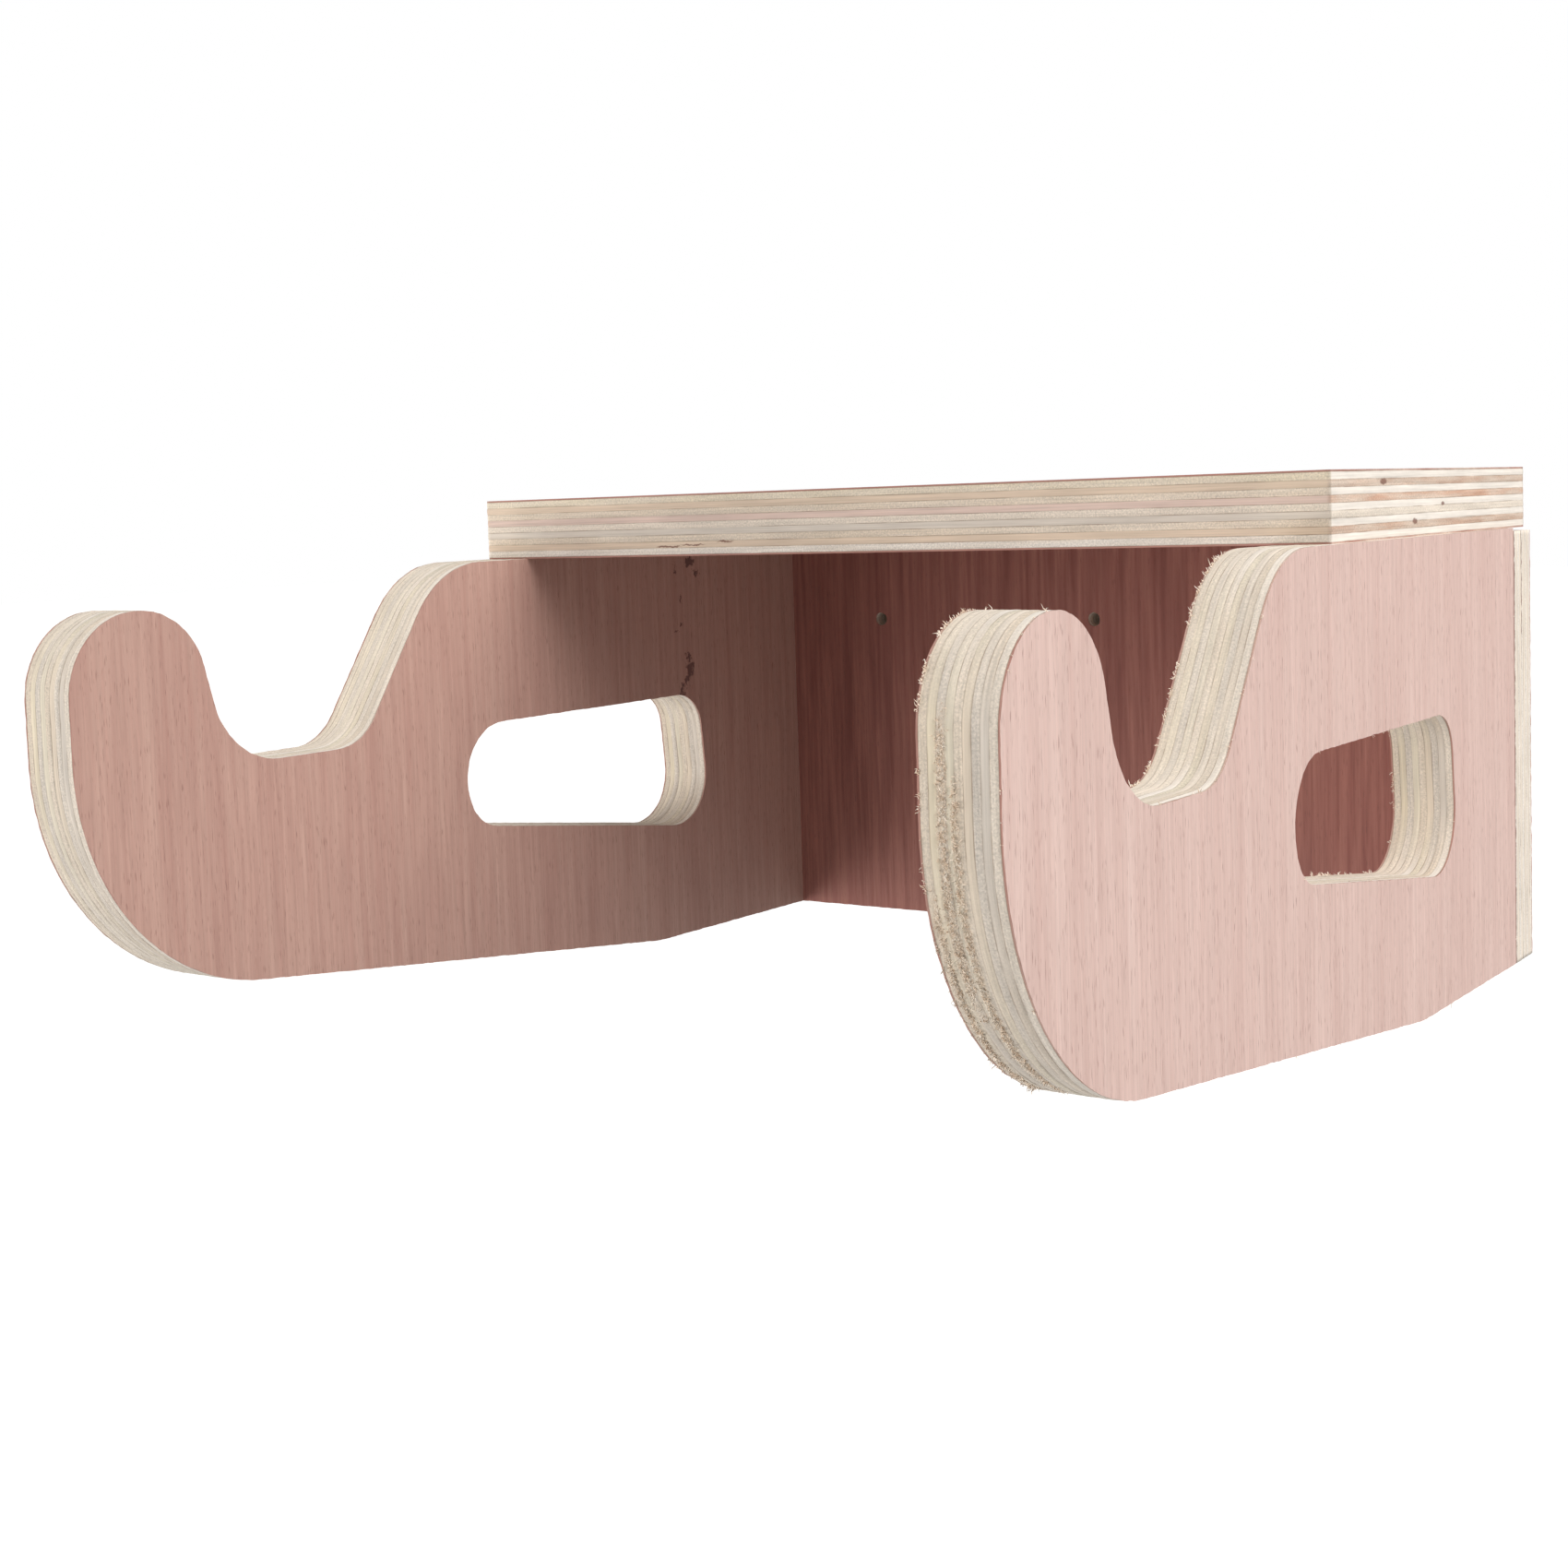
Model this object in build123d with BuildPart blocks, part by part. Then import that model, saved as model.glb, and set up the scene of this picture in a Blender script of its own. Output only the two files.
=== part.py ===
from build123d import *
from math import acos, tan
import os

# Wall rack of plywood: a back panel screwed to the wall, two hooked arms that carry a bicycle,
# and a shelf that lies on the arms.
# Origin: on the wall, at the centre of the middle wall hole. -Y points out of the wall, +Z up.
# Sizes are in millimetres.

os.makedirs("parts", exist_ok=True)

# Boards
board = 18.0                # plywood of the arms and the back panel
shelf_board = 18.5          # plywood of the shelf

# Overall sizes
rack_width = 282.0          # over the outer faces of the two arms
arm_length = 325.0          # from the back panel to the tip of the hook
arm_height = 134.0          # at the back panel

# Arm outline: hook, cradle and shoulder follow each other back from the tip
hook_width = 39.5           # top of the hook
hook_drop = 7.5             # top of the hook below the arm's top edge
hook_lean = 11.5            # how far the hook's inner side leans forward
cradle_floor = 49.5
cradle_depth = 51.0
slope_run = 35.5            # run of the slope from the shoulder down to the cradle
nose_rise = 30.0            # lower corner of the nose above the arm's foot
foot_length = 88.0          # near-level stretch of the bottom edge, at the back panel
foot_rise = 1.0
shoulder_radius = 34.0
cradle_back_radius = 18.5
cradle_front_radius = 23.5
hook_back_radius = 21.5
hook_front_radius = 22.0
nose_radius = 66.0

# Slot through each arm
slot_web = 35.5             # wood left between the slot and the cradle's rear corner
slot_drop = 50.0            # top of the slot below the arm's top edge
slot_back = 56.5            # from the back panel to the slot's lower rear corner
slot_back_lean = 5.0
slot_back_height = 47.5
slot_front_lean = 12.5
slot_front_height = 31.0
slot_front_top_radius = 17.0
slot_back_top_radius = 13.0
slot_back_bottom_radius = 17.0
slot_front_bottom_radius = 13.5

# Shelf and back panel
shelf_end_inset = 2.0       # each end of the shelf inside the arm's outer face
shelf_front_setback = 40.0  # front edge of the shelf behind the arm's shoulder corner
panel_top_gap = 1.0         # back panel's top edge below the shelf

# Wall holes, in a row
wall_hole_radius = 2.25
wall_hole_pitch = 85.0
wall_hole_drop = 28.0       # row of holes below the arms' top edge
wall_hole_count = 3

# Countersunk wood screws that join the boards
screw_length = 40.0
screw_radius = 2.0
screw_point = 5.0
head_radius = 4.0
head_rim = 0.4
head_sink = 0.2             # head below the face of the board
recess_width = 0.9
recess_span = 4.2
recess_depth = 1.8
screw_clearance = 0.1
shelf_screw_rear_inset = 40.0   # from the back panel to the rear pair of shelf screws
shelf_screw_front_inset = 25.0  # from the shelf's front edge to the front pair
panel_screw_rows = 3
panel_screw_edge = 22.0     # top and bottom rows from the ends of the arm's rear edge

# Places that follow from these sizes
arm_top = wall_hole_drop
arm_bottom = arm_top - arm_height
arm_mid = (rack_width - board) / 2
hook_back = arm_length - hook_width
cradle_front = hook_back - hook_lean
cradle_back = cradle_front - cradle_floor
shoulder = cradle_back - slope_run
slot_front = cradle_back - slot_web
slot_bottom_back = slot_drop + slot_back_height
slot_bottom_front = slot_drop + slot_front_height
shelf_width = rack_width - 2 * shelf_end_inset
shelf_depth = board + shoulder - shelf_front_setback
panel_top = arm_top - panel_top_gap
shelf_top = arm_top + shelf_board


def wall_limited(corners, radii, share=0.98):
    """The same radii, made smaller where two roundings would meet on a side too short for both."""
    count = len(corners)
    points = [Vector(*corner) for corner in corners]
    tangents = []
    for i, radius in enumerate(radii):
        back = points[i - 1] - points[i]
        ahead = points[(i + 1) % count] - points[i]
        half_angle = acos(back.dot(ahead) / (back.length * ahead.length)) / 2
        tangents.append(radius / tan(half_angle))
    limits = [1.0] * count
    for i in range(count):
        j = (i + 1) % count
        side = (points[j] - points[i]).length
        taken = tangents[i] + tangents[j]
        if taken > share * side:
            limits[i] = min(limits[i], share * side / taken)
            limits[j] = min(limits[j], share * side / taken)
    return [radius * limit for radius, limit in zip(radii, limits)]


def turned_screw(gap, above):
    """A countersunk screw along -Z, larger all round by gap, with its head carried up by above."""
    neck = head_radius - screw_radius + head_rim
    with BuildPart() as turned:
        with BuildSketch(Plane.XZ):
            with BuildLine():
                Polyline(
                    (0, above),
                    (head_radius + gap, above),
                    (head_radius + gap, -head_rim),
                    (screw_radius + gap, -neck),
                    (screw_radius + gap, screw_point - screw_length),
                    (0, -screw_length - 2 * gap),
                    close=True,
                )
            make_face()
        revolve(axis=Axis.Z)
    return turned.part


# Places of the screws: each points into the board, with its head at local Z = 0
shelf_screw_rows = (-(board + shelf_screw_rear_inset), -(shelf_depth - shelf_screw_front_inset))
shelf_screw_places = [
    Location((x, y, shelf_top - head_sink))
    for y in shelf_screw_rows
    for x in (-arm_mid, arm_mid)
]
panel_screw_step = (arm_height - 2 * panel_screw_edge) / (panel_screw_rows - 1)
panel_screw_places = [
    Plane(origin=(x, -head_sink, arm_top - panel_screw_edge - row * panel_screw_step),
          x_dir=(1, 0, 0), z_dir=(0, 1, 0)).location
    for row in range(panel_screw_rows)
    for x in (-arm_mid, arm_mid)
]
screw_seat = turned_screw(screw_clearance, head_sink + 1)

# Arms: sketched on the inner face of the right arm, X forward from the panel and Y down from its top
arm_plane = Plane(
    origin=(rack_width / 2 - board, -board, arm_top), x_dir=(0, -1, 0), z_dir=(1, 0, 0)
)
arm_corners = [
    (0, 0),
    (shoulder, 0),
    (cradle_back, cradle_depth),
    (cradle_front, cradle_depth),
    (hook_back, hook_drop),
    (arm_length, hook_drop),
    (arm_length, arm_height - nose_rise),
    (foot_length, arm_height - foot_rise),
    (0, arm_height),
]
arm_radii = [
    0,
    shoulder_radius,
    cradle_back_radius,
    cradle_front_radius,
    hook_back_radius,
    hook_front_radius,
    nose_radius,
    0,
    0,
]
slot_corners = [
    (slot_front, slot_drop),
    (slot_back + slot_back_lean, slot_drop),
    (slot_back, slot_bottom_back),
    (slot_front - slot_front_lean, slot_bottom_front),
]
slot_radii = [
    slot_front_top_radius,
    slot_back_top_radius,
    slot_back_bottom_radius,
    slot_front_bottom_radius,
]

with BuildPart() as right_arm:
    with BuildSketch(arm_plane):
        with BuildLine():
            FilletPolyline(*arm_corners, radius=wall_limited(arm_corners, arm_radii), close=True)
        make_face()
        with BuildLine():
            FilletPolyline(*slot_corners, radius=wall_limited(slot_corners, slot_radii), close=True)
        make_face(mode=Mode.SUBTRACT)
    extrude(amount=board)
    with Locations(*shelf_screw_places, *panel_screw_places):
        add(screw_seat, mode=Mode.SUBTRACT)
right_arm.part.label = "right_arm"
export_step(right_arm.part, "parts/right_arm.step")

with BuildPart() as left_arm:
    mirror(right_arm.part, about=Plane.YZ)
left_arm.part.label = "left_arm"
export_step(left_arm.part, "parts/left_arm.step")

# Back panel, with the row of wall holes at the origin's height
with BuildPart() as back_panel:
    with BuildSketch(Plane.XZ):
        with Locations((0, (panel_top + arm_bottom) / 2)):
            Rectangle(rack_width, panel_top - arm_bottom)
        with GridLocations(wall_hole_pitch, 0, wall_hole_count, 1):
            Circle(wall_hole_radius, mode=Mode.SUBTRACT)
    extrude(amount=board)
    with Locations(*panel_screw_places):
        add(screw_seat, mode=Mode.SUBTRACT)
back_panel.part.label = "back_panel"
export_step(back_panel.part, "parts/back_panel.step")

# Shelf, from the wall forward
with BuildPart() as shelf:
    with BuildSketch(Plane.XY.offset(arm_top)):
        with Locations((0, -shelf_depth / 2)):
            Rectangle(shelf_width, shelf_depth)
    extrude(amount=shelf_board)
    with Locations(*shelf_screw_places):
        add(screw_seat, mode=Mode.SUBTRACT)
shelf.part.label = "shelf"
export_step(shelf.part, "parts/shelf.step")

# Screw with a cross recess, and a copy of it in each place
with BuildPart() as wood_screw:
    add(turned_screw(0, 0))
    with BuildSketch():
        Rectangle(recess_span, recess_width)
        Rectangle(recess_width, recess_span)
    extrude(amount=-recess_depth, mode=Mode.SUBTRACT)

screw_places = {
    f"{group}_screw_{number}": place
    for group, places in (("shelf", shelf_screw_places), ("panel", panel_screw_places))
    for number, place in enumerate(places, start=1)
}
for name, place in screw_places.items():
    with BuildPart() as screw:
        with Locations(place):
            add(wood_screw.part)
    screw.part.label = name
    export_step(screw.part, f"parts/{name}.step")
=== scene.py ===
"""Wall rack of plywood: two hooked arms, a shelf and a back panel, in raw board with sawn edges.

X runs along the wall, -Y out of it and +Z up, in metres, as in the frame.
"""

import math
import random
from bisect import bisect_right
from collections import defaultdict

import bmesh
import bpy
from bpy.props import FloatProperty, FloatVectorProperty, IntProperty, PointerProperty
from mathutils import Matrix, Vector, noise


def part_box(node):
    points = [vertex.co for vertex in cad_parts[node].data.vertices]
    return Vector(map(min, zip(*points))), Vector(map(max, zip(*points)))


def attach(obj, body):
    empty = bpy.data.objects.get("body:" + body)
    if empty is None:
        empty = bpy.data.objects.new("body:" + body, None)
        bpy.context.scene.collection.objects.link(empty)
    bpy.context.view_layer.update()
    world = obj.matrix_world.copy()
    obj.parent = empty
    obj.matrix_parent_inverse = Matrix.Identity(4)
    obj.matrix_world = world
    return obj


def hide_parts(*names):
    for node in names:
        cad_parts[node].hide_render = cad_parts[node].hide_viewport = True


bl_info = {
    "name": "Plywood Wall Rack",
    "version": (1, 0, 0),
    "blender": (4, 5, 0),
    "location": "View3D > Sidebar > Wall Rack",
    "description": "Builds the boards, screws and torn fibres of a plywood wall rack",
    "category": "Add Mesh",
}

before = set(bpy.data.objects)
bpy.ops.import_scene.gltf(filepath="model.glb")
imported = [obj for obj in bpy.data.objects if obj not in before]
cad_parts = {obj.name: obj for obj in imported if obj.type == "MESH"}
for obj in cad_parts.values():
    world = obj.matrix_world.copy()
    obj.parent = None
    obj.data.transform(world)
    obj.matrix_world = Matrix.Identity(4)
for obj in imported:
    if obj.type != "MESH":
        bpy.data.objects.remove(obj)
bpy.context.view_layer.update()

MM = 0.001
X, Y, Z = 0, 1, 2
BOX = {name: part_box(name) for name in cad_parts}
SCREWS = sorted(name for name in BOX if "_screw_" in name)

# Distances in metres within which points are one, and within which a cut goes through a point
WELD = 2e-6
ON_CUT = 1e-7

# A normal with more than this along the board's thickness belongs to its broad faces
BROAD = 0.5


def linear(hex_colour):
    """sRGB hex colour as linear red, green, blue and alpha."""
    channels = [int(hex_colour[i:i + 2], 16) / 255 for i in (0, 2, 4)]
    return tuple(c / 12.92 if c <= 0.04045 else ((c + 0.055) / 1.055) ** 2.4 for c in channels) + (1.0,)


def colour(name, description, hex_colour):
    """Colour setting with its default as an sRGB hex value."""
    return FloatVectorProperty(
        name=name, description=description, subtype="COLOR", size=4, min=0, max=1,
        default=linear(hex_colour))


def length(name, description, millimetres):
    """Length setting with its default in mm."""
    return FloatProperty(
        name=name, description=description, subtype="DISTANCE", unit="LENGTH", precision=5,
        default=millimetres * MM)


# ---------------------------------------------------------------------------------------- settings


class RackPlywood(bpy.types.PropertyGroup):
    inner_plies: IntProperty(
        name="Inner plies", description="Plies between the two face veneers", default=9, min=3)
    face_ply: length("Face veneer", "Thickness of each face veneer", 0.5)
    glue_line: length("Glue line", "Width of the line between two plies", 0.22)
    sample: length("Edge sample", "Spacing of points along a sawn edge", 1.1)
    step: length("Ply step", "How far one ply stands out of the next on a sawn edge", 0.09)
    rough: length("Sawn roughness", "Depth of the roughness that the saw left", 0.08)
    nick: length("Arris nicks", "Depth of the nicks along the edges of the face veneers", 0.22)
    veneer: colour("Veneer", "Rotary-cut okoume face of the arms and shelf", "CFB3A9")
    veneer_dark: colour("Veneer, dark", "Darker grain of the okoume face", "BB9A90")
    # The left arm's face colours are darker and warmer than the right arm's: partly its own tone, partly
    # painted shade, as its inner face lies in the shelf's shade
    left_veneer_and_shade: colour("Left veneer", "Warmer okoume face of the left arm", "B89587")
    left_dark_and_shade: colour("Left veneer, dark", "Darker grain of the left arm's face", "A37B6F")
    # The back panel's face colours are redder and darker than the arms': partly its own okoume tone, partly
    # painted shade, as the panel lies behind the arms and under the shelf
    panel_veneer_and_shade: colour("Panel veneer", "Redder okoume face of the back panel", "A86F61")
    panel_dark_and_shade: colour("Panel veneer, dark", "Dark streaks of the back panel's face", "864F45")


class RackFibres(bpy.types.PropertyGroup):
    radius: length("Fibre radius", "Usual radius of a torn fibre at its root", 0.13)
    arris_length: length("Arris fibre", "Mean length of an arris's fibres beyond the shortest", 0.4)
    band_length: length("Band fibre", "Mean length of a torn ply's fibres beyond the shortest", 0.4)
    seed: IntProperty(name="Seed", description="Seed of the fibres' places", default=7)


class RackStage(bpy.types.PropertyGroup):
    lens: FloatProperty(name="Focal length", description="Of the camera, in mm", default=50.5)
    place: FloatVectorProperty(
        name="Camera", description="Place of the camera", subtype="TRANSLATION", unit="LENGTH",
        default=(0.3343, -0.6951, 0.0419))
    yaw: FloatProperty(
        name="Yaw", description="Turn of the camera to the left", subtype="ANGLE", default=0.5996)
    pitch: FloatProperty(
        name="Pitch", description="Tilt of the camera downwards", subtype="ANGLE", default=0.0786)
    roll: FloatProperty(
        name="Roll", description="Roll of the camera", subtype="ANGLE", default=0.033)
    shift: FloatProperty(
        name="Shift", description="Vertical lens shift, as a share of the frame", default=-0.0667)
    floor_drop: length("Floor drop", "Floor below the rack's middle wall hole", 2300)
    floor: colour("Floor", "Pale studio floor", "FBFAF8")
    floor_glow: FloatProperty(name="Floor glow", description="Brings the floor up to white", default=0.8)
    backdrop: FloatProperty(name="Backdrop", description="Brightness of the white backdrop", default=1.0)
    fill: FloatProperty(name="Fill", description="Strength of the soft light from above", default=0.38)
    fill_below: FloatProperty(
        name="Fill below", description="Strength of the soft light from below", default=0.34)
    key: FloatProperty(name="Key", description="Power of the key light, in watts", default=84.0)
    front: FloatProperty(name="Front", description="Power of the front light, in watts", default=76.0)
    softbox: length("Softbox", "Side of the square softbox of each light", 2400)
    key_place: FloatVectorProperty(
        name="Key place", description="Place of the key light", subtype="TRANSLATION", unit="LENGTH",
        default=(1.75, -0.15, 1.52))
    front_place: FloatVectorProperty(
        name="Front place", description="Place of the front light", subtype="TRANSLATION",
        unit="LENGTH", default=(-1.9, -1.5, -0.35))


# ---------------------------------------------------------------------------------------- materials

# Inputs of a Mix node that blends colours: how much of the second, the first and the second
SHARE, FIRST, SECOND = 0, 6, 7
BLEND = {"out": 2, "data_type": "RGBA"}

# The other two inputs of a Mix node that blends numbers
LOW, HIGH = 2, 3

# Of wood and paint, where nothing glossy lies on them
MATT_IOR = 1.45


def add(owner, kind, inputs=(), out=0, **settings):
    """Adds a node with its settings, sets or links its inputs, and returns one output, or the node.

    Inputs come in order, or by number or name. A MapRange takes a value, its old range and its new one.
    """
    node = owner.node_tree.nodes.new("ShaderNode" + kind)
    for key, value in settings.items():
        setattr(node, key, value)
    for key, value in inputs.items() if isinstance(inputs, dict) else enumerate(inputs):
        if isinstance(value, bpy.types.NodeSocket):
            owner.node_tree.links.new(value, node.inputs[key])
        else:
            node.inputs[key].default_value = value
    return node if out is None else node.outputs[out]


def new_material(name):
    """A material with no nodes yet."""
    material = bpy.data.materials.new(name)
    material.use_nodes = True
    material.node_tree.nodes.clear()
    return material


def finished(material, inputs):
    """The material with a shader that has these inputs."""
    surface = add(material, "BsdfPrincipled", inputs)
    add(material, "OutputMaterial", {"Surface": surface}, out=None)
    return material


def wood_noise(material, sizes, detail=2.0, roughness=0.5, out=0):
    """Noise whose features measure the given sizes in mm along X, Y and Z of the board."""
    place = add(material, "TexCoord", out="Object")
    scaled = add(material, "Mapping", {"Vector": place, "Scale": [1 / (size * MM) for size in sizes]})
    inputs = {"Vector": scaled, "Scale": 1.0, "Detail": detail, "Roughness": roughness}
    return add(material, "TexNoise", inputs, out=out)


def along(axis, run, across):
    """Sizes of a feature that is stretched along one axis."""
    return tuple(run if i == axis else across for i in (X, Y, Z))


def shaded(material, base, value):
    """The base colour made darker or lighter by a value."""
    grey = add(material, "CombineColor", (value, value, value))
    return add(material, "Mix", {SHARE: 1.0, FIRST: base, SECOND: grey}, blend_type="MULTIPLY", **BLEND)


def marked(material, base, marks, dark, warp):
    """The base colour with dark marks, each with a centre and half sizes in mm, bent by up to warp mm."""
    place = add(material, "TexCoord", out="Object")
    bend = wood_noise(material, (2.6, 2.6, 2.6), detail=3.0, roughness=0.65, out="Color")
    bend = add(material, "VectorMath", (bend, (0.5, 0.5, 0.5)), operation="SUBTRACT")
    bend = add(material, "VectorMath", {0: bend, "Scale": 2 * warp * MM}, operation="SCALE")
    place = add(material, "VectorMath", (place, bend), operation="ADD")
    for centre, half in marks:
        offset = add(material, "VectorMath", (place, [c * MM for c in centre]), operation="SUBTRACT")
        offset = add(material, "VectorMath", (offset, [h * MM for h in half]), operation="DIVIDE")
        reach = add(material, "VectorMath", (offset,), out="Value", operation="LENGTH")
        share = add(material, "MapRange", (reach, 0.7, 1.1, 0.8, 0.0))
        base = add(material, "Mix", {SHARE: share, FIRST: base, SECOND: linear(dark)}, **BLEND)
    return base


def okoume_veneer(name, light, dark, grain, streak_share, splits=()):
    """Rotary-cut okoume, sanded and left raw: matt, with long fine grain and short dark pores.

    Broad ribbons of tone run with the grain, and splits are dark marks in it.
    """
    material = new_material(name)
    ribbons = wood_noise(material, along(grain, 190, 9), detail=3.0)
    streaks = wood_noise(material, along(grain, 60, 2.2), detail=3.0, roughness=0.6)
    lines = wood_noise(material, along(grain, 22, 0.55), detail=3.0, roughness=0.65)
    # A real pore is 0.2 mm wide; it is drawn at twice that so that it shows
    pores = wood_noise(material, along(grain, 3.6, 0.42), detail=1.0)
    pores = add(material, "MapRange", (pores, 0.62, 0.74))

    ribbons = add(material, "MapRange", (ribbons, 0.3, 0.7, 0.0, 0.35))
    streaks = add(material, "MapRange", (streaks, 0.35, 0.7, 0.0, streak_share))
    tone = add(material, "Math", (ribbons, streaks), operation="ADD")
    base = add(material, "Mix", {SHARE: tone, FIRST: light, SECOND: dark}, **BLEND)
    base = shaded(material, base, add(material, "MapRange", (lines, 0.25, 0.75, 0.87, 1.1)))
    pore_share = add(material, "Math", (pores, 0.42), operation="MULTIPLY")
    base = add(material, "Mix", {SHARE: pore_share, FIRST: base, SECOND: linear("6E463C")}, **BLEND)
    if splits:
        base = marked(material, base, splits, dark="4A2420", warp=4.0)

    height = add(material, "Math", (lines, pores), operation="SUBTRACT")
    bump = add(material, "Bump", {"Strength": 0.5, "Distance": 0.06 * MM, "Height": height})
    return finished(material, {"Base Color": base, "Normal": bump, "Roughness": 0.72, "IOR": MATT_IOR})


# Tones of sawn poplar and okoume
CREAM, IVORY, STRAW, TAN = "D8CBBB", "DED5CA", "D6C8AF", "CEB9A3"
GREY, GREEN, PINK, FLAX = "CABFB2", "D0C5B0", "CFB7AA", "D2C2AE"
ORANGE, BROWN, FACE = "C49B82", "BC9D88", "A8796C"

# Tones of the plies from one face to the other, where the saw crossed the grain and where it ran with it
ARM_END = (FACE, FLAX, CREAM, GREY, CREAM, FLAX, GREEN, GREY, FLAX, CREAM, FACE)
ARM_LONG = (FACE, CREAM, STRAW, CREAM, GREEN, IVORY, FLAX, CREAM, GREY, IVORY, FACE)
SHELF_END = (FACE, IVORY, BROWN, FLAX, CREAM, CREAM, ORANGE, FLAX, BROWN, STRAW, FACE)
SHELF_LONG = (FACE, IVORY, TAN, IVORY, GREY, IVORY, PINK, IVORY, TAN, IVORY, FACE)
PANEL = (FACE, IVORY, CREAM, IVORY, CREAM, IVORY, CREAM, IVORY, CREAM, IVORY, FACE)


def sawn_edge(name, node, axis, grain, end_tones, long_tones, marks=()):
    """Sawn edge of poplar plywood: matt stripes, darker and rougher where a ply shows its end grain.

    Dark glue lines part the plies, and a torn ply is pale fluff, brown in its low places as painted shade
    of its hollows.
    """
    plies = bpy.context.scene.rack_plywood
    low, high = (corner[axis] for corner in BOX[node])
    inner = (high - low - 2 * plies.face_ply) / plies.inner_plies
    cross = X + Y + Z - axis - grain

    material = new_material(name)
    place = add(material, "SeparateXYZ", (add(material, "TexCoord", out="Object"),), out=None)
    facing = add(material, "SeparateXYZ", (add(material, "TexCoord", out="Normal"),), out=None)
    depth = add(material, "Math", (place.outputs[axis], low + plies.face_ply), operation="SUBTRACT")
    depth = add(material, "Math", (depth, inner), operation="DIVIDE")
    ply = add(material, "Math", (depth, -0.5), operation="MAXIMUM")
    ply = add(material, "Math", (ply, plies.inner_plies + 0.5), operation="MINIMUM")
    ply = add(material, "Math", (ply,), operation="FLOOR")

    # The grain turns by a quarter from ply to ply
    odd = add(material, "Math", (ply, 2.0), operation="FLOORED_MODULO")
    with_grain = add(material, "Math", (facing.outputs[grain],), operation="ABSOLUTE")
    with_cross = add(material, "Math", (facing.outputs[cross],), operation="ABSOLUTE")
    end = add(material, "Mix", {SHARE: odd, LOW: with_cross, HIGH: with_grain}, data_type="FLOAT")

    position = add(material, "Math", (ply, 1.5), operation="ADD")
    position = add(material, "Math", (position, plies.inner_plies + 2.0), operation="DIVIDE")
    # One flat band of colour for each ply
    sawn = []
    for hexes in (long_tones, end_tones):
        tones = add(material, "ValToRGB", (position,), out=None)
        bands = tones.color_ramp
        bands.interpolation = "CONSTANT"
        for i, tone in enumerate(hexes):
            band = bands.elements[i] if i < 2 else bands.elements.new(i / len(hexes))
            band.position = i / len(hexes)
            band.color = linear(tone)
        sawn.append(tones.outputs["Color"])
    sawn_long, sawn_end = sawn
    # End grain fades towards pale wood in places, at a different place in each ply
    wander = wood_noise(material, along(axis, 2.2, 26))
    wander = add(material, "MapRange", (wander, 0.35, 0.65, 0.0, 0.6))
    sawn_end = add(material, "Mix", {SHARE: wander, FIRST: sawn_end, SECOND: linear(CREAM)}, **BLEND)
    base = add(material, "Mix", {SHARE: end, FIRST: sawn_long, SECOND: sawn_end}, **BLEND)

    streaks = wood_noise(material, along(axis, 0.5, 34), detail=3.0, roughness=0.6)
    patches = wood_noise(material, along(axis, 3.0, 16))
    speckle = wood_noise(material, (0.5, 0.5, 0.5), roughness=0.7)
    base = shaded(material, base, add(material, "MapRange", (streaks, 0.25, 0.75, 0.84, 1.12)))
    base = shaded(material, base, add(material, "MapRange", (patches, 0.3, 0.7, 0.93, 1.06)))
    grit = add(material, "MapRange", (speckle, 0.3, 0.7, -0.24, 0.14))
    grit = add(material, "Math", (grit, end, 1.0), operation="MULTIPLY_ADD")
    base = shaded(material, base, grit)

    part = add(material, "Math", (depth,), operation="FRACT")
    rest = add(material, "Math", (1.0, part), operation="SUBTRACT")
    nearest = add(material, "Math", (part, rest), operation="MINIMUM")
    line = add(material, "MapRange", (nearest, 0.0, 0.9 * plies.glue_line / inner, 0.8, 0.0))
    broken = wood_noise(material, along(axis, 4.0, 9))
    broken = add(material, "MapRange", (broken, 0.35, 0.65, 0.25, 1.0))
    line = add(material, "Math", (line, broken), operation="MULTIPLY")
    base = add(material, "Mix", {SHARE: line, FIRST: base, SECOND: linear("8A7460")}, **BLEND)

    torn = add(material, "Attribute", out="Fac", attribute_name="torn")
    fluff = wood_noise(material, (0.6, 0.6, 0.9), roughness=0.8)
    fluff = add(material, "MapRange", (fluff, 0.4, 0.62))
    pale = add(material, "Math", (torn, 0.55), operation="MULTIPLY")
    base = add(material, "Mix", {SHARE: pale, FIRST: base, SECOND: linear("E4D6C2")}, **BLEND)
    # Brown where the fluff is low: painted shade in the hollows of the torn ply
    painted_pit_shade = add(material, "MapRange", (fluff, 0.0, 1.0, 0.65, 0.0))
    painted_pit_shade = add(material, "Math", (painted_pit_shade, torn), operation="MULTIPLY")
    base = add(material, "Mix", {SHARE: painted_pit_shade, FIRST: base, SECOND: linear("BDA386")}, **BLEND)
    # The marks are knots, a glue line, and a painted shadow along the joint where an arm meets the panel
    if marks:
        base = marked(material, base, marks, dark="6B3F30", warp=0.9)

    # End grain is rougher than long grain, and torn fluff the roughest
    grit_height = add(material, "Math", (end, 0.35), operation="ADD")
    height = add(material, "Math", (speckle, grit_height), operation="MULTIPLY")
    height = add(material, "Math", (streaks, 0.8, height), operation="MULTIPLY_ADD")
    fluff_height = add(material, "Math", (torn, 2.5), operation="MULTIPLY")
    height = add(material, "Math", (fluff, fluff_height, height), operation="MULTIPLY_ADD")
    bump = add(material, "Bump", {"Strength": 0.6, "Distance": 0.12 * MM, "Height": height})
    return finished(material, {"Base Color": base, "Normal": bump, "Roughness": 0.82, "IOR": MATT_IOR})


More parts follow.
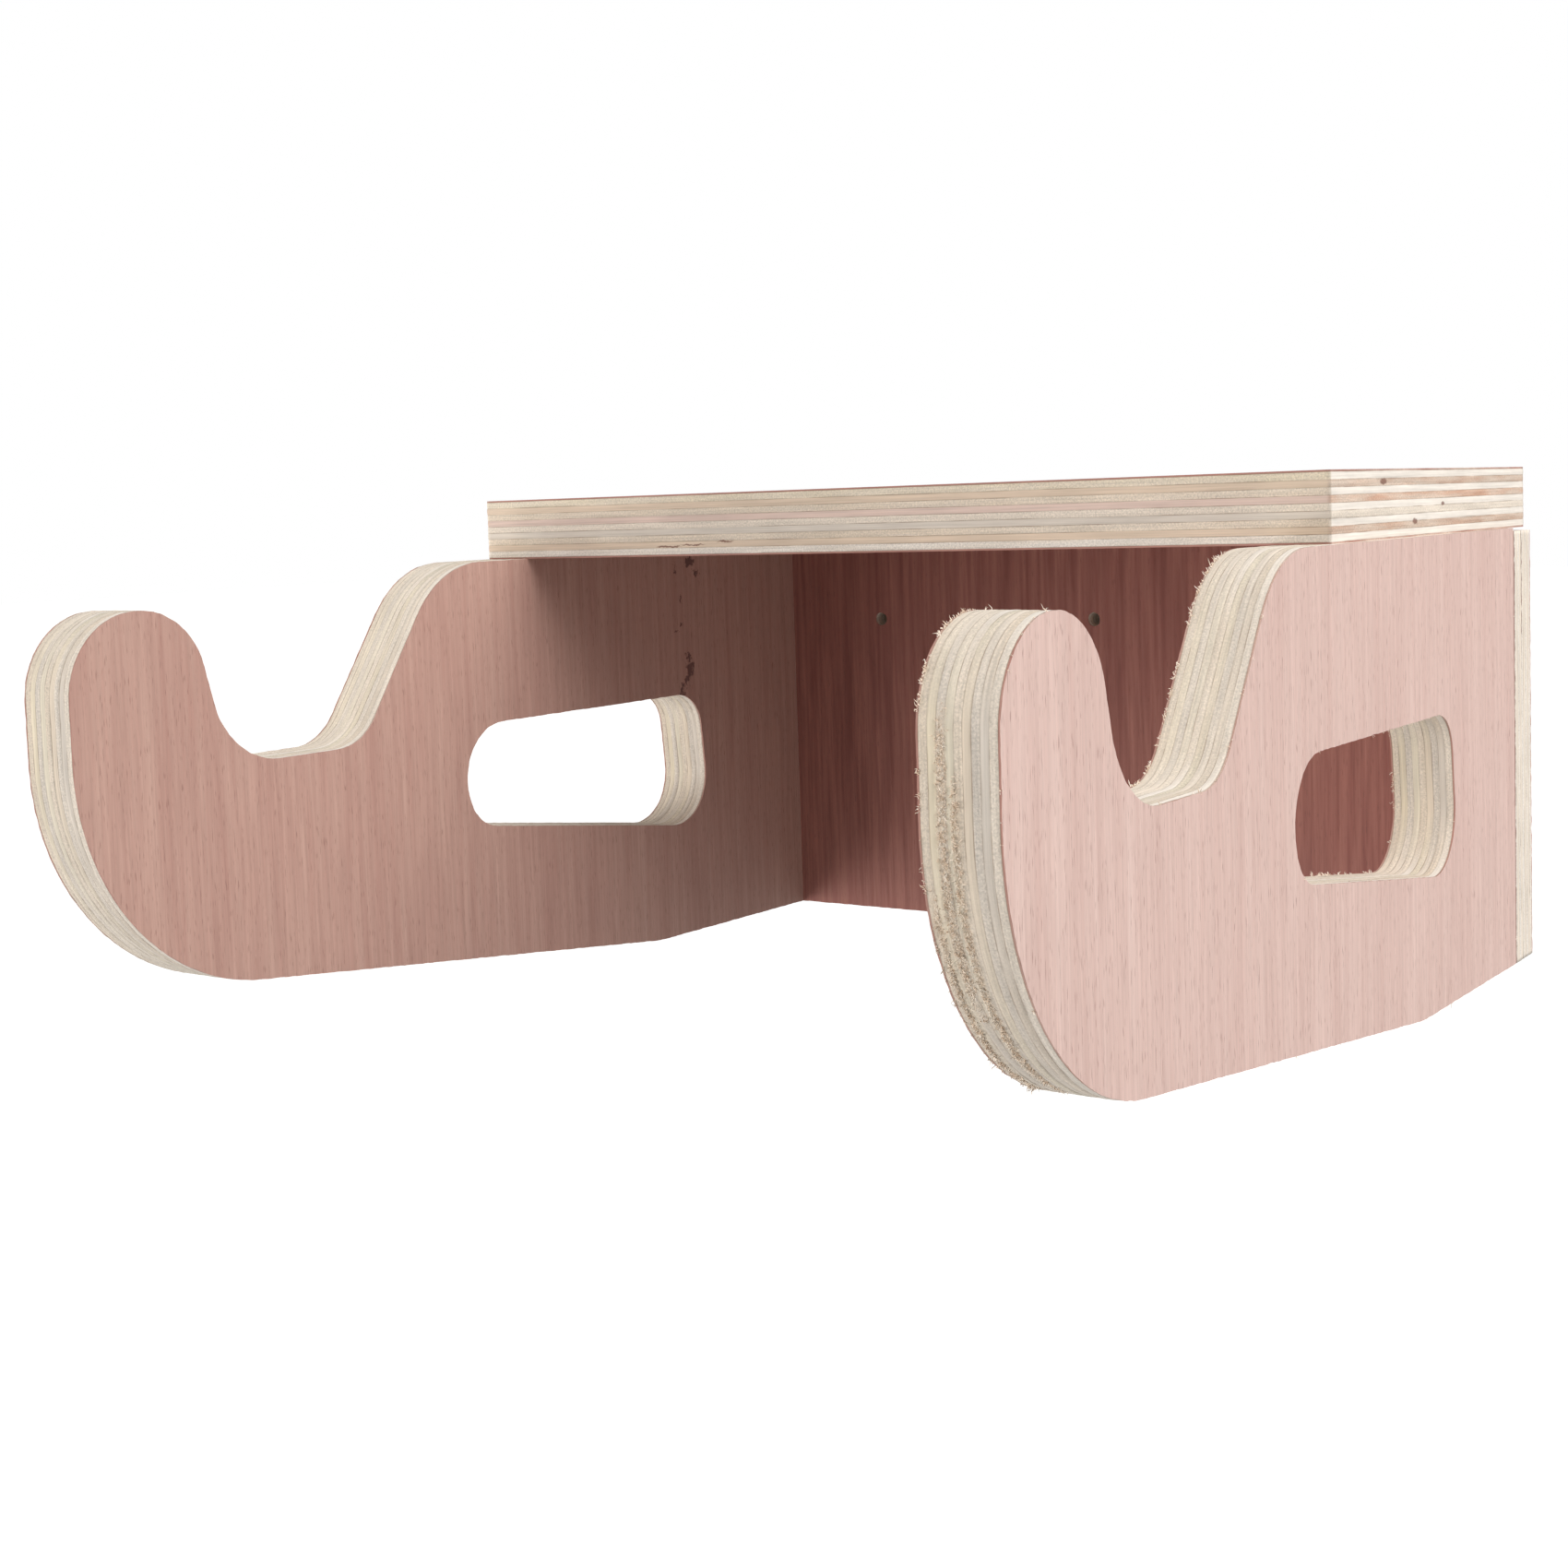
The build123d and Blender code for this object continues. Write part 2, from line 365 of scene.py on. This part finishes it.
def zinc_steel():
    """Zinc-plated steel, barrel plated: a soft bright metal with a faint warm mottle."""
    material = new_material("zinc_plated_steel")
    mottle = wood_noise(material, (0.7, 0.7, 0.7), detail=3.0, roughness=0.6)
    warm = add(material, "MapRange", (mottle, 0.35, 0.65))
    base = add(material, "Mix", {SHARE: warm, FIRST: linear("C9C7C0"), SECOND: linear("B9B199")}, **BLEND)
    rough = add(material, "MapRange", (mottle, 0.3, 0.7, 0.28, 0.46))
    return finished(material, {"Base Color": base, "Metallic": 1.0, "Roughness": rough})


def torn_poplar():
    """Loose fibres of poplar and okoume: very pale, matt and a little tan."""
    material = new_material("torn_poplar_fibre")
    tint = wood_noise(material, (1.6, 1.6, 1.6))
    tint = add(material, "MapRange", (tint, 0.35, 0.65))
    base = add(material, "Mix", {SHARE: tint, FIRST: linear("ECE1D3"), SECOND: linear("DAC3AB")}, **BLEND)
    return finished(material, {"Base Color": base, "Roughness": 0.9, "IOR": MATT_IOR})


# ------------------------------------------------------------------------------------------- boards


def ply_boundaries(low, high):
    """Where one ply ends and the next starts, through the thickness of a board."""
    plies = bpy.context.scene.rack_plywood
    inner = (high - low - 2 * plies.face_ply) / plies.inner_plies
    return [low + plies.face_ply + i * inner for i in range(plies.inner_plies + 1)]


def in_screw_seat(point, seats):
    """True within the box of any screw's seat."""
    return any(all(lo[i] <= point[i] <= hi[i] for i in (X, Y, Z)) for lo, hi in seats)


def sawn_faces(bm, axis, covered, seats):
    """Faces of the sawn edges: they don't face along the board's thickness and nothing covers them."""
    return [
        face for face in bm.faces
        if abs(face.normal[axis]) < BROAD
        and not covered(face.calc_center_median())
        and not in_screw_seat(face.calc_center_median(), seats)
    ]


def slice_plies(bm, axis, low, high):
    """Cuts the board at both sides of each glue line and twice within each inner ply."""
    plies = bpy.context.scene.rack_plywood
    edges = ply_boundaries(low, high)
    cuts = [edge + side * plies.glue_line / 2 for edge in edges for side in (-1, 1)]
    cuts += [a + (b - a) * share for a, b in zip(edges, edges[1:]) for share in (1 / 3, 2 / 3)]
    normal = Vector((0, 0, 0))
    normal[axis] = 1
    for cut in sorted(cuts):
        geometry = bm.verts[:] + bm.edges[:] + bm.faces[:]
        bmesh.ops.bisect_plane(bm, geom=geometry, dist=ON_CUT, plane_co=normal * cut, plane_no=normal)


def refine_edges(bm, faces, axis, sample):
    """Divides the long sides of the sawn faces into steps of about one sample."""
    longest = 1.4 * sample
    by_cuts = defaultdict(set)
    for face in faces:
        for edge in face.edges:
            run = edge.verts[1].co - edge.verts[0].co
            if abs(run[axis]) < 0.1 * run.length and run.length > longest:
                by_cuts[math.ceil(run.length / sample) - 1].add(edge)
    for cuts in sorted(by_cuts):
        edges = sorted(by_cuts[cuts], key=lambda edge: edge.index)
        bmesh.ops.subdivide_edges(bm, edges=edges, cuts=cuts, use_grid_fill=True)


# Spacing in mm of a ply's swells, the saw's roughness, the nicks of an arris and the torn pits
SWELL, BUMP, NICK, PIT = 28, 1.7, 2.6, 1.3


def weather_edges(bm, faces, axis, low, high, seed, torn):
    """Moves the sawn faces in and out ply by ply, roughens them and nicks their arrises."""
    plies = bpy.context.scene.rack_plywood
    layer = bm.verts.layers.float.new("torn")
    boundaries = ply_boundaries(low, high)
    normals = defaultdict(Vector)
    for face in faces:
        for vert in face.verts:
            normals[vert] += face.normal
    # Another stretch of the noise for each board, and for each ply in it
    drift = Vector((seed * 3.1, seed * 1.7, seed * 2.3))
    for vert, normal in normals.items():
        normal.normalize()
        depth = vert.co[axis]
        ply = bisect_right(boundaries, depth)
        at_glue = min(abs(depth - edge) for edge in boundaries) < 0.6 * plies.glue_line
        place = vert.co / MM
        own = drift + Vector((0, 0, 7.7 * ply))
        push = plies.step * noise.noise(place / SWELL + own)
        push += plies.rough * noise.noise(place / BUMP + own)
        if at_glue:
            push -= 0.6 * plies.step
        at_arris = min(depth - low, high - depth) < 1e-6
        if at_arris:
            push = -plies.nick * max(0.0, 0.25 + noise.noise(place / NICK + drift))
        amount = torn(vert.co, normal) if torn else 0.0
        if amount > 0:
            vert[layer] = amount
            push += amount * 0.5 * MM * (noise.noise(place / PIT + drift) - 0.2)
        vert.co += normal * push


def build_board(node, name, axis, grain, materials, covered, seed, torn=None):
    """A board from its CAD node: faces of veneer and sawn edges with every ply in them."""
    plies = bpy.context.scene.rack_plywood
    low, high = (corner[axis] for corner in BOX[node])
    round_seat = Vector((0.6, 0.6, 0.6)) * MM
    seats = [(BOX[screw][0] - round_seat, BOX[screw][1] + round_seat) for screw in SCREWS]
    bm = bmesh.new()
    bm.from_mesh(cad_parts[node].data)
    bmesh.ops.remove_doubles(bm, verts=bm.verts[:], dist=WELD)
    # Only the diagonals of the sawn edges go: a broad face with a hole in it has to keep its own
    diagonals = [
        edge for edge in bm.edges
        if all(abs(face.normal[axis]) < BROAD for face in edge.link_faces)
    ]
    bmesh.ops.dissolve_limit(bm, angle_limit=math.radians(0.2), edges=diagonals)
    if axis == X:
        # Parts the stretch of an arm that the shelf covers from the one that shows
        shelf_front = (0, BOX["shelf"][0][Y], 0)
        geometry = bm.verts[:] + bm.edges[:] + bm.faces[:]
        bmesh.ops.bisect_plane(
            bm, geom=geometry, dist=ON_CUT, plane_co=shelf_front, plane_no=(0, 1, 0))
    slice_plies(bm, axis, low, high)
    refine_edges(bm, sawn_faces(bm, axis, covered, seats), axis, plies.sample)
    faces = sawn_faces(bm, axis, covered, seats)
    for face in bm.faces:
        is_broad = abs(face.normal[axis]) > BROAD
        face.material_index = 0 if is_broad else 1
        face.smooth = not is_broad
    for edge in bm.edges:
        if len({face.material_index for face in edge.link_faces}) > 1:
            edge.smooth = False
    weather_edges(bm, faces, axis, low, high, seed, torn)
    mesh = bpy.data.meshes.new(name)
    bm.to_mesh(mesh)
    bm.free()
    for material in materials:
        mesh.materials.append(material)
    piece = bpy.data.objects.new(name, mesh)
    bpy.context.collection.objects.link(piece)
    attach(piece, "root")
    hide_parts(node)


def nothing_covers(point):
    """All sawn edges of the board show."""
    return False


def arm_covered(point):
    """True where the shelf lies on an arm and where the arm meets the back panel."""
    shelf_low = BOX["shelf"][0]
    panel_front = BOX["back_panel"][0][Y]
    touching = 0.02 * MM
    under_shelf = point[Z] > shelf_low[Z] - touching and point[Y] > shelf_low[Y]
    return under_shelf or point[Y] > panel_front - touching


# Bands torn out of the near arm's front edge, in mm: centre in from its inner face, half width, top, bottom
TORN_BANDS = ((5.2, 1.5, 6, -62), (8.0, 1.2, -8, -84), (2.2, 1.1, -30, -98))


def near_arm_torn(point, normal):
    """How torn the near arm's front edge is at a point, from 0 to 1."""
    inner_face = BOX["right_arm"][0][X]
    if normal[Y] > -0.35 or point[Y] > -280 * MM:
        return 0.0
    inward = (point[X] - inner_face) / MM
    height = point[Z] / MM
    sway = 0.8 * noise.noise(Vector((height / 14, 0, 3)))
    bands = 0.0
    for centre, half, top, bottom in TORN_BANDS:
        span = min(1.0, (top - height) / 8, (height - bottom) / 12)
        reach = max(0.0, 1 - abs(inward - centre - sway) / half)
        bands = max(bands, min(reach * 1.6, 1.0) * max(0.0, span))
    return bands


class RACK_OT_arms(bpy.types.Operator):
    """Two hooked arms with a slot through each, with the grain upright"""
    bl_idname = "rack.arms"
    bl_label = "Build the arms"

    def execute(self, context):
        plies = context.scene.rack_plywood
        inner_face = BOX["left_arm"][1][X] / MM
        splits = (
            ((inner_face, -81.9, 23.9), (2, 2.4, 2.0)), ((inner_face, -78.4, 19.8), (2, 1.3, 1.2)),
            ((inner_face, -90.7, 22.0), (2, 0.6, 1.8)), ((inner_face, -87.7, 10.7), (2, 0.7, 2.0)),
            ((inner_face, -87.9, 2.3), (2, 1.1, 0.9)), ((inner_face, -90.8, 0.0), (2, 1.4, 0.8)),
            ((inner_face, -84.3, -9.6), (2, 1.2, 2.4)), ((inner_face, -83.7, -14.0), (2, 1.9, 2.9)),
            ((inner_face, -85.8, -17.2), (2, 1.5, 2.9)), ((inner_face, -88.2, -20.8), (2, 1.3, 3.2)),
        )
        # The left arm's veneer colours hold painted shade as well as the veneer's own tone
        left_face = okoume_veneer(
            "okoume_veneer_left_arm", plies.left_veneer_and_shade, plies.left_dark_and_shade, Z, 0.55, splits)
        right_face = okoume_veneer(
            "okoume_veneer_right_arm", plies.veneer, plies.veneer_dark, Z, 0.45)
        for node, face, seed, torn in (
                ("left_arm", left_face, 3, None), ("right_arm", right_face, 5, near_arm_torn)):
            edge = sawn_edge(f"sawn_poplar_{node}", node, X, Z, ARM_END, ARM_LONG)
            build_board(node, f"{node}_board", X, Z, (face, edge), arm_covered, seed, torn)
        return {"FINISHED"}


class RACK_OT_shelf(bpy.types.Operator):
    """Shelf that lies on the arms, with the grain along the wall"""
    bl_idname = "rack.shelf"
    bl_label = "Build the shelf"

    def execute(self, context):
        plies = context.scene.rack_plywood
        end_face = BOX["shelf"][1][X] / MM
        knots = (
            ((end_face, -128.0, 43.2), (2, 2.8, 0.9)), ((end_face, -103.0, 32.2), (2, 2.2, 0.9)),
            ((end_face, -79.0, 36.6), (2, 1.6, 0.6)),
            ((-67.0, -167.0, 30.9), (5.0, 2, 0.3)), ((-58.0, -167.0, 31.3), (4.5, 2, 0.25)),
            ((-46.0, -167.0, 32.0), (3.0, 2, 0.3)),
        )
        face = okoume_veneer("okoume_veneer_shelf", plies.veneer, plies.veneer_dark, X, 0.5)
        edge = sawn_edge("sawn_poplar_shelf", "shelf", Z, X, SHELF_END, SHELF_LONG, knots)
        build_board("shelf", "shelf_board", Z, X, (face, edge), nothing_covers, 11)
        return {"FINISHED"}


class RACK_OT_back_panel(bpy.types.Operator):
    """Back panel behind the arms, with a row of wall holes and upright grain"""
    bl_idname = "rack.back_panel"
    bl_label = "Build the back panel"

    def execute(self, context):
        plies = context.scene.rack_plywood
        # The panel's veneer colours hold painted shade as well as its own redder tone
        face = okoume_veneer("okoume_veneer_panel", plies.panel_veneer_and_shade, plies.panel_dark_and_shade, Z, 0.9)
        low, high = (corner / MM for corner in BOX["back_panel"])
        # The first line, down the front arris of the panel's end, is partly the face veneer's edge and
        # partly painted shadow of the joint where the arm meets the panel; the second is a dark glue line
        lines = ((high.x, low.y + 0.5, 0), (3, 0.7, 160)), ((high.x, low.y + 8.2, 10), (3, 0.4, 21))
        edge = sawn_edge("sawn_poplar_panel", "back_panel", Y, Z, PANEL, PANEL, lines)
        build_board("back_panel", "back_panel_board", Y, Z, (face, edge), nothing_covers, 17)
        return {"FINISHED"}


class RACK_OT_screws(bpy.types.Operator):
    """Zinc-plated finish on the countersunk screws of the frame"""
    bl_idname = "rack.screws"
    bl_label = "Finish the screws"

    def execute(self, context):
        steel = zinc_steel()
        for name in SCREWS:
            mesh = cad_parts[name].data
            mesh.materials.clear()
            mesh.materials.append(steel)
        return {"FINISHED"}


# ------------------------------------------------------------------------------------------- fibres

# Spacing of the places where fibres may stand, and how deep their roots are in the wood
SPACING = 0.4 * MM
ROOT = 0.2 * MM

# Tries for a fibre across the torn plies at each place, and fibres grown in one mesh at a time
BAND_TRIES = 34
BATCH = 80


def arris_points(node, axis, side, sample):
    """Points along the arris of one face of a board, each with the normal of the sawn edge there."""
    bm = bmesh.new()
    bm.from_mesh(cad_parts[node].data)
    bmesh.ops.remove_doubles(bm, verts=bm.verts[:], dist=WELD)
    found = []
    for edge in sorted(bm.edges, key=lambda edge: edge.index):
        walls = [face for face in edge.link_faces if abs(face.normal[axis]) < BROAD]
        if len(walls) != 1 or abs(edge.verts[0].co[axis] - side) > 1e-5:
            continue
        a, b = (vert.co.copy() for vert in edge.verts)
        steps = max(1, round((b - a).length / sample))
        found += [(a.lerp(b, (i + 0.5) / steps), walls[0].normal.copy()) for i in range(steps)]
    bm.free()
    return found


def grow_fibre(bm, root, direction, size, radius):
    """One bent fibre: a thick root and a thinner tip, as two slim cones."""
    tip = (direction + Vector([random.gauss(0, 0.8) for _ in range(3)])).normalized()
    bend = root + direction * 0.58 * size
    for start, way, run, wide, thin in (
            (root, direction, 0.6 * size, radius, 0.7 * radius),
            (bend, tip, 0.5 * size, 0.7 * radius, 0.15 * radius)):
        turn = way.to_track_quat("Z", "Y").to_matrix().to_4x4()
        bmesh.ops.create_cone(
            bm, cap_ends=True, cap_tris=False, segments=3, radius1=wide, radius2=thin, depth=run,
            matrix=Matrix.Translation(start + way * run / 2) @ turn)


def fibre_mesh(name, fibres):
    """One mesh of many fibres, each given as root, direction, length and radius."""
    mesh = bpy.data.meshes.new(name)
    whole = bmesh.new()
    for start in range(0, len(fibres), BATCH):
        bm = bmesh.new()
        for fibre in fibres[start:start + BATCH]:
            grow_fibre(bm, *fibre)
        bm.to_mesh(mesh)
        bm.free()
        whole.from_mesh(mesh)
    whole.to_mesh(mesh)
    whole.free()
    return mesh


def arris_tearing(point):
    """How many fibres stand on a stretch of the near arm's inner arris, from 0 to 1."""
    forward, up = point[Y] / MM, point[Z] / MM
    under_shelf = up > 27.9 and forward > -190
    hook_front = forward < -318 and up > 2
    slope = -262 < forward < -200 and up > -27
    nose = forward < -300
    slot = -150 < forward < -70 and -62 < up < -18
    if under_shelf:
        return 0.0
    if hook_front or slope:
        return 1.0
    if nose:
        return 0.35
    return 0.5 if slot else 0.12


def arris_fibres(settings, side, outward, share):
    """Tufts on one arris of the near arm: they lean away from its face."""
    found = []
    for point, normal in arris_points("right_arm", X, side, SPACING):
        patch = max(0.0, 0.6 + 2.0 * noise.noise(point / (4 * MM)))
        if random.random() > arris_tearing(point) * share * patch:
            continue
        for _ in range(random.randint(2, 5)):
            lean = (outward * random.uniform(-0.4, 1.0), random.gauss(0, 0.7), random.gauss(0, 0.7))
            way = (normal + Vector(lean)).normalized()
            size = min(0.25 * MM + random.expovariate(1 / settings.arris_length), 2.2 * MM)
            spread = (-outward * random.uniform(0.05, 0.7), random.gauss(0, 0.2), random.gauss(0, 0.2))
            root = point + Vector(spread) * MM - normal * ROOT
            found.append((root, way, size, settings.radius * random.uniform(0.5, 1.3)))
    return found


def band_fibres(settings, side):
    """Short crumbs of wood that stand in the torn plies of the near arm's front edge."""
    found = []
    for point, normal in arris_points("right_arm", X, side, SPACING):
        for _ in range(BAND_TRIES):
            across = (random.uniform(0.5, 11), random.gauss(0, 0.15), random.gauss(0, 0.15))
            root = point + Vector(across) * MM
            if random.random() < 0.8 * near_arm_torn(root, normal):
                way = (normal + Vector([random.gauss(0, 0.6) for _ in range(3)])).normalized()
                size = min(ROOT + random.expovariate(1 / settings.band_length), 1.2 * MM)
                found.append((root - normal * ROOT, way, size, settings.radius))
    return found


class RACK_OT_fibres(bpy.types.Operator):
    """Fibres that the cutter tore out of the near arm's edges"""
    bl_idname = "rack.fibres"
    bl_label = "Grow the torn fibres"

    def execute(self, context):
        settings = context.scene.rack_fibres
        random.seed(settings.seed)
        low, high = BOX["right_arm"]
        fibres = arris_fibres(settings, low[X], -1, 1.0)
        fibres += arris_fibres(settings, high[X], 1, 0.1)
        fibres += band_fibres(settings, low[X])
        mesh = fibre_mesh("torn_fibres", fibres)
        mesh.materials.append(torn_poplar())
        piece = bpy.data.objects.new("torn_fibres", mesh)
        context.collection.objects.link(piece)
        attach(piece, "root")
        return {"FINISHED"}


# -------------------------------------------------------------------------------------------- stage

# Half the side of the square floor in metres, and the width of the camera's sensor in mm
FLOOR_REACH = 60
SENSOR = 36


class RACK_OT_stage(bpy.types.Operator):
    """Pale floor, soft white light all round, a key light, a front light and the camera"""
    bl_idname = "rack.stage"
    bl_label = "Set the stage"

    def execute(self, context):
        stage = context.scene.rack_stage
        scene = context.scene
        scene.view_settings.view_transform = "Standard"

        # The backdrop is white to the camera, and a dimmer light of the same kind falls on the rack
        world = bpy.data.worlds.new("studio")
        world.use_nodes = True
        background = world.node_tree.nodes["Background"]
        background.inputs["Color"].default_value = (1, 1, 1, 1)
        upwards = add(world, "SeparateXYZ", (add(world, "TexCoord", out="Generated"),), out=Z)
        fill = add(world, "MapRange", (upwards, -0.4, 0.4, stage.fill_below, stage.fill))
        seen = add(world, "LightPath", out="Is Camera Ray")
        strength = add(world, "Mix", {SHARE: seen, LOW: fill, HIGH: stage.backdrop}, data_type="FLOAT")
        world.node_tree.links.new(strength, background.inputs["Strength"])
        scene.world = world

        bm = bmesh.new()
        bmesh.ops.create_grid(
            bm, x_segments=1, y_segments=1, size=FLOOR_REACH,
            matrix=Matrix.Translation((0, 0, -stage.floor_drop)))
        mesh = bpy.data.meshes.new("floor")
        bm.to_mesh(mesh)
        bm.free()
        # Matt paint that glows a little, so that the floor is as white as the backdrop
        mesh.materials.append(finished(new_material("matt_floor_paint"), {
            "Base Color": stage.floor, "Roughness": 0.9, "IOR": MATT_IOR,
            "Emission Color": stage.floor, "Emission Strength": stage.floor_glow}))
        floor = bpy.data.objects.new("floor", mesh)
        # The floor throws no light back, so the underside of the rack keeps its shade
        floor.visible_diffuse = False
        context.collection.objects.link(floor)

        for name, power, place in (
                ("key", stage.key, stage.key_place), ("front", stage.front, stage.front_place)):
            lamp = bpy.data.lights.new(name, "AREA")
            lamp.energy = power
            lamp.size = stage.softbox
            light = bpy.data.objects.new(name, lamp)
            light.location = place
            light.rotation_euler = (-light.location).to_track_quat("-Z", "Y").to_euler()
            context.collection.objects.link(light)

        optics = bpy.data.cameras.new("camera")
        optics.lens = stage.lens
        optics.sensor_width = SENSOR
        optics.shift_y = stage.shift
        camera = bpy.data.objects.new("camera", optics)
        camera.matrix_world = (
            Matrix.Translation(stage.place)
            @ Matrix.Rotation(stage.yaw, 4, "Z")
            @ Matrix.Rotation(math.pi / 2 - stage.pitch, 4, "X")
            @ Matrix.Rotation(-stage.roll, 4, "Z"))
        context.collection.objects.link(camera)
        scene.camera = camera
        return {"FINISHED"}


# ------------------------------------------------------------------------------------------- add-on


class RACK_PT_panel(bpy.types.Panel):
    """Settings and steps of the wall rack"""
    bl_idname = "RACK_PT_panel"
    bl_label = "Wall Rack"
    bl_space_type = "VIEW_3D"
    bl_region_type = "UI"
    bl_category = "Wall Rack"

    def draw(self, context):
        for group in (context.scene.rack_plywood, context.scene.rack_fibres, context.scene.rack_stage):
            box = self.layout.box()
            for name in group.__annotations__:
                box.prop(group, name)
        for operator in OPERATORS:
            self.layout.operator(operator.bl_idname)


GROUPS = {"rack_plywood": RackPlywood, "rack_fibres": RackFibres, "rack_stage": RackStage}
OPERATORS = (
    RACK_OT_stage, RACK_OT_arms, RACK_OT_shelf, RACK_OT_back_panel, RACK_OT_screws, RACK_OT_fibres)


def register():
    for cls in (*GROUPS.values(), *OPERATORS, RACK_PT_panel):
        bpy.utils.register_class(cls)
    for name, group in GROUPS.items():
        setattr(bpy.types.Scene, name, PointerProperty(type=group))


def unregister():
    for name in GROUPS:
        delattr(bpy.types.Scene, name)
    for cls in reversed((*GROUPS.values(), *OPERATORS, RACK_PT_panel)):
        bpy.utils.unregister_class(cls)


def main():
    register()
    bpy.ops.rack.stage()
    bpy.ops.rack.arms()
    bpy.ops.rack.shelf()
    bpy.ops.rack.back_panel()
    bpy.ops.rack.screws()
    bpy.ops.rack.fibres()


if __name__ == "__main__":
    main()
